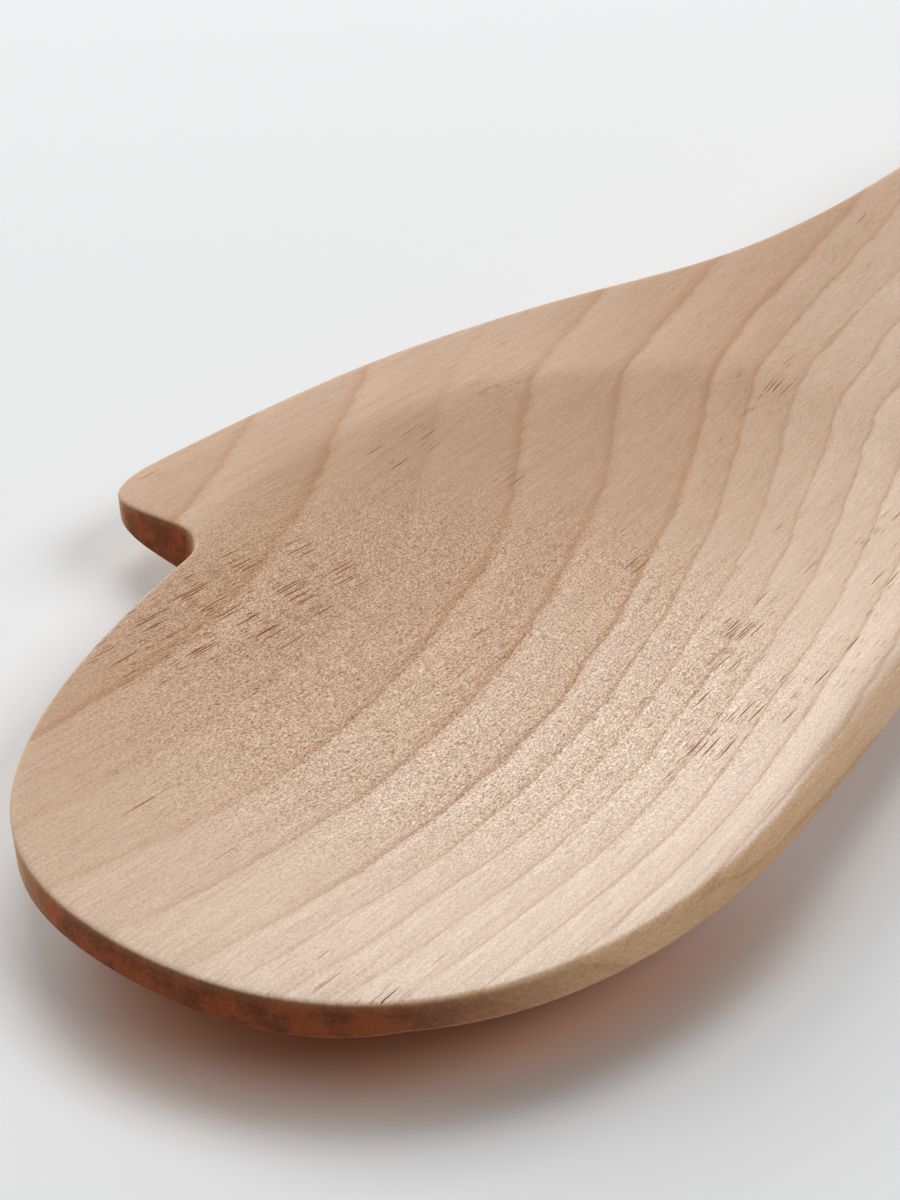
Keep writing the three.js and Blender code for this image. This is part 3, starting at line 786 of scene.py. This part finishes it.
class SPOON_OT_carve(bpy.types.Operator):
    """Carve the spoon from one piece of wood"""

    bl_idname = "spoon.carve"
    bl_label = "Carve spoon"

    def execute(self, context):
        sizes = context.scene.spoon_sizes
        outline = Outline(sizes)
        place, side, drop, faces = plan_mesh(outline)
        x, y = place.T
        tip = CAD_LOW.x
        axis = CAD_HIGH.y - sizes.ear_reach
        mesh = bpy.data.meshes.new("spoon_plan")
        points = np.column_stack([x + tip, y + axis, np.zeros(len(x))])
        mesh.from_pydata(points.tolist(), [], faces)
        reach = np.where(y < 0, -outline.plain_at(np.maximum(x, sizes.curl_start)), outline.ear_at(x))
        stored = {
            "side": side,
            "round_drop": drop,
            "inside_dish": np.maximum(outline.inside_dish(x, y), -1.0),
            "reach": reach,
            "edge": outline.edge(x, y),
        }
        for name, values in stored.items():
            attribute = mesh.attributes.new(name, "FLOAT", "POINT")
            attribute.data.foreach_set("value", np.asarray(values, dtype=np.float32))
        plan = bpy.data.objects.new("spoon_plan", mesh)
        context.scene.collection.objects.link(plan)
        material = wood_material(context.scene.spoon_wood, (tip - TIP_CLEAR, axis, 0.0))
        tree = form_tree(material)
        modifier = plan.modifiers.new("Spoon form", "NODES")
        modifier.node_group = tree
        values = {"Tip": tip, "Axis": axis}
        for item in tree.interface.items_tree:
            if item.in_out == "INPUT" and item.name in FORM_INPUTS:
                modifier[item.identifier] = float(values.get(item.name, getattr(sizes, item.name, 0.0)))
        context.view_layer.update()
        shaped = bpy.data.meshes.new_from_object(plan.evaluated_get(context.evaluated_depsgraph_get()))
        if len(shaped.polygons) < 1000:
            raise RuntimeError("the spoon's form is empty")
        for name in stored:
            shaped.attributes.remove(shaped.attributes[name])
        bpy.data.objects.remove(plan)
        shaped.name = "carved_spoon"
        shaped.shade_smooth()
        spoon = bpy.data.objects.new("carved_spoon", shaped)
        context.scene.collection.objects.link(spoon)
        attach(spoon, "root")
        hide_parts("spoon")
        return {"FINISHED"}


class SPOON_OT_stage(bpy.types.Operator):
    """Set the table, the lamps and the camera"""

    bl_idname = "spoon.stage"
    bl_label = "Set stage"

    def execute(self, context):
        scene = context.scene
        stage = scene.spoon_stage
        mesh = bpy.data.meshes.new("table_top")
        corners = [(TABLE_REACH * x, TABLE_REACH * y, 0.0) for x, y in ((-1, -1), (1, -1), (1, 1), (-1, 1))]
        mesh.from_pydata(corners, [], [(0, 1, 2, 3)])
        table = bpy.data.objects.new("table_top", mesh)
        scene.collection.objects.link(table)
        material = self.table_material(stage)
        mesh.materials.append(material)

        world = bpy.data.worlds.new("studio")
        scene.world = world
        world.use_nodes = True
        tree = world.node_tree
        tree.nodes.clear()
        seen = tree.nodes.new("ShaderNodeBackground")
        seen.inputs["Color"].default_value = (*stage.backdrop, 1.0)
        seen.inputs["Strength"].default_value = 1.0
        lit = tree.nodes.new("ShaderNodeBackground")
        lit.inputs["Color"].default_value = (*AMBIENT_TINT, 1.0)
        lit.inputs["Strength"].default_value = stage.ambient
        choose = tree.nodes.new("ShaderNodeMixShader")
        tree.links.new(self.seen_by_eye(tree), choose.inputs["Fac"])
        tree.links.new(lit.outputs[0], choose.inputs[1])
        tree.links.new(seen.outputs[0], choose.inputs[2])
        output = tree.nodes.new("ShaderNodeOutputWorld")
        tree.links.new(choose.outputs[0], output.inputs["Surface"])

        for name, place, size, setting in LAMPS:
            self.lamp(scene, name, place, size, getattr(stage, setting))

        camera = bpy.data.cameras.new("camera")
        camera.sensor_width = 36.0
        camera.lens = stage.camera_lens
        camera.clip_start = 0.005
        camera.clip_end = 50.0
        holder = bpy.data.objects.new("camera", camera)
        scene.collection.objects.link(holder)
        turn = Matrix.Rotation(stage.camera_turn - math.pi / 2, 4, "Z")
        tilt = Matrix.Rotation(math.pi / 2 - stage.camera_tilt, 4, "X")
        holder.matrix_world = Matrix.Translation(stage.camera_place) @ turn @ tilt
        scene.camera = holder
        scene.view_settings.view_transform = "Standard"
        return {"FINISHED"}

    def table_material(self, stage):
        """Matt table that shows the spoon's shadow, with painted shade and painted warm bounce light in its
        colour in front of the head's tip, and melts into the backdrop far away.
        """
        material = bpy.data.materials.new("pale_table")
        material.use_nodes = True
        tree = material.node_tree
        n = Nodes(tree)
        matt = tree.nodes["Principled BSDF"]
        place = tree.nodes.new("ShaderNodeTexCoord").outputs["Object"]
        from_head = n.away(place, PAINTED_SHADE_CENTRE, PAINTED_SHADE_REACH)
        along = n.ramp(n.vector("DOT_PRODUCT", place, (1.0, 0.0, 0.0)), -0.108, -0.138, 0.2, 1.0)
        across = n.ramp(n.vector("DOT_PRODUCT", place, (0.0, 1.0, 0.0)), 0.006, -0.012)
        front = n.math("MULTIPLY", along, across, label="in front of the tip")
        # painted shade and painted warm bounce light: the table's own colour is darkened and warmed in front
        # of the head's tip
        painted_shade_share = n.math("MULTIPLY", n.ramp(from_head, 1.11, 0.98), front)
        painted_glow_share = n.math("MULTIPLY", n.ramp(from_head, 1.06, 0.86), front)
        top = n.blend(painted_shade_share, tuple(stage.table), tuple(stage.shade), label="close shade")
        top = n.blend(painted_glow_share, top, tuple(stage.glow), label="warm glow")
        n.feed(matt.inputs["Base Color"], top)
        matt.inputs["Roughness"].default_value = 0.9
        matt.inputs["Specular IOR Level"].default_value = 0.0
        far = tree.nodes.new("ShaderNodeEmission")
        far.inputs["Color"].default_value = (*stage.backdrop, 1.0)
        away = n.ramp(n.vector("LENGTH", place), MELT_START, MELT_END)
        melt = tree.nodes.new("ShaderNodeMixShader")
        n.feed(melt.inputs[0], n.math("MULTIPLY", away, self.seen_by_eye(tree)))
        n.feed(melt.inputs[1], matt.outputs[0])
        n.feed(melt.inputs[2], far.outputs[0])
        n.feed(tree.nodes["Material Output"].inputs["Surface"], melt.outputs[0])
        return material

    def seen_by_eye(self, tree):
        """1 for what the camera, a reflection or clear matter sees, 0 for rays that only light the scene."""
        n = Nodes(tree)
        rays = tree.nodes.new("ShaderNodeLightPath")
        seen = n.math("MAXIMUM", rays.outputs["Is Camera Ray"], rays.outputs["Is Glossy Ray"])
        return n.math("MAXIMUM", seen, rays.outputs["Is Transmission Ray"])

    def lamp(self, scene, name, place, size, watts):
        """Place one soft lamp, unseen by the camera, that points at the head."""
        light = bpy.data.lights.new(name, "AREA")
        light.shape = "RECTANGLE"
        light.size, light.size_y = size
        light.energy = watts
        light.color = LAMP_TINT
        holder = bpy.data.objects.new(name, light)
        scene.collection.objects.link(holder)
        holder.visible_camera = False
        turn = (Vector(LAMP_TARGET) - Vector(place)).to_track_quat("-Z", "Y")
        holder.matrix_world = Matrix.Translation(place) @ turn.to_matrix().to_4x4()


class SPOON_PT_panel(bpy.types.Panel):
    """Sizes, colours and steps of the spoon"""

    bl_label = "Notched wooden spoon"
    bl_idname = "SPOON_PT_panel"
    bl_space_type = "VIEW_3D"
    bl_region_type = "UI"
    bl_category = "Spoon"

    def draw(self, context):
        scene = context.scene
        for settings in (scene.spoon_sizes, scene.spoon_wood, scene.spoon_stage):
            box = self.layout.box()
            for name in settings.__annotations__:
                box.prop(settings, name)
        self.layout.operator(SPOON_OT_carve.bl_idname)
        self.layout.operator(SPOON_OT_stage.bl_idname)


CLASSES = (SpoonSizes, SpoonWood, SpoonStage, SPOON_OT_carve, SPOON_OT_stage, SPOON_PT_panel)


def register():
    for cls in CLASSES:
        bpy.utils.register_class(cls)
    bpy.types.Scene.spoon_sizes = PointerProperty(type=SpoonSizes)
    bpy.types.Scene.spoon_wood = PointerProperty(type=SpoonWood)
    bpy.types.Scene.spoon_stage = PointerProperty(type=SpoonStage)


def unregister():
    del bpy.types.Scene.spoon_stage
    del bpy.types.Scene.spoon_wood
    del bpy.types.Scene.spoon_sizes
    for cls in reversed(CLASSES):
        bpy.utils.unregister_class(cls)


def main():
    register()
    bpy.ops.spoon.carve()
    bpy.ops.spoon.stage()


if __name__ == "__main__":
    main()
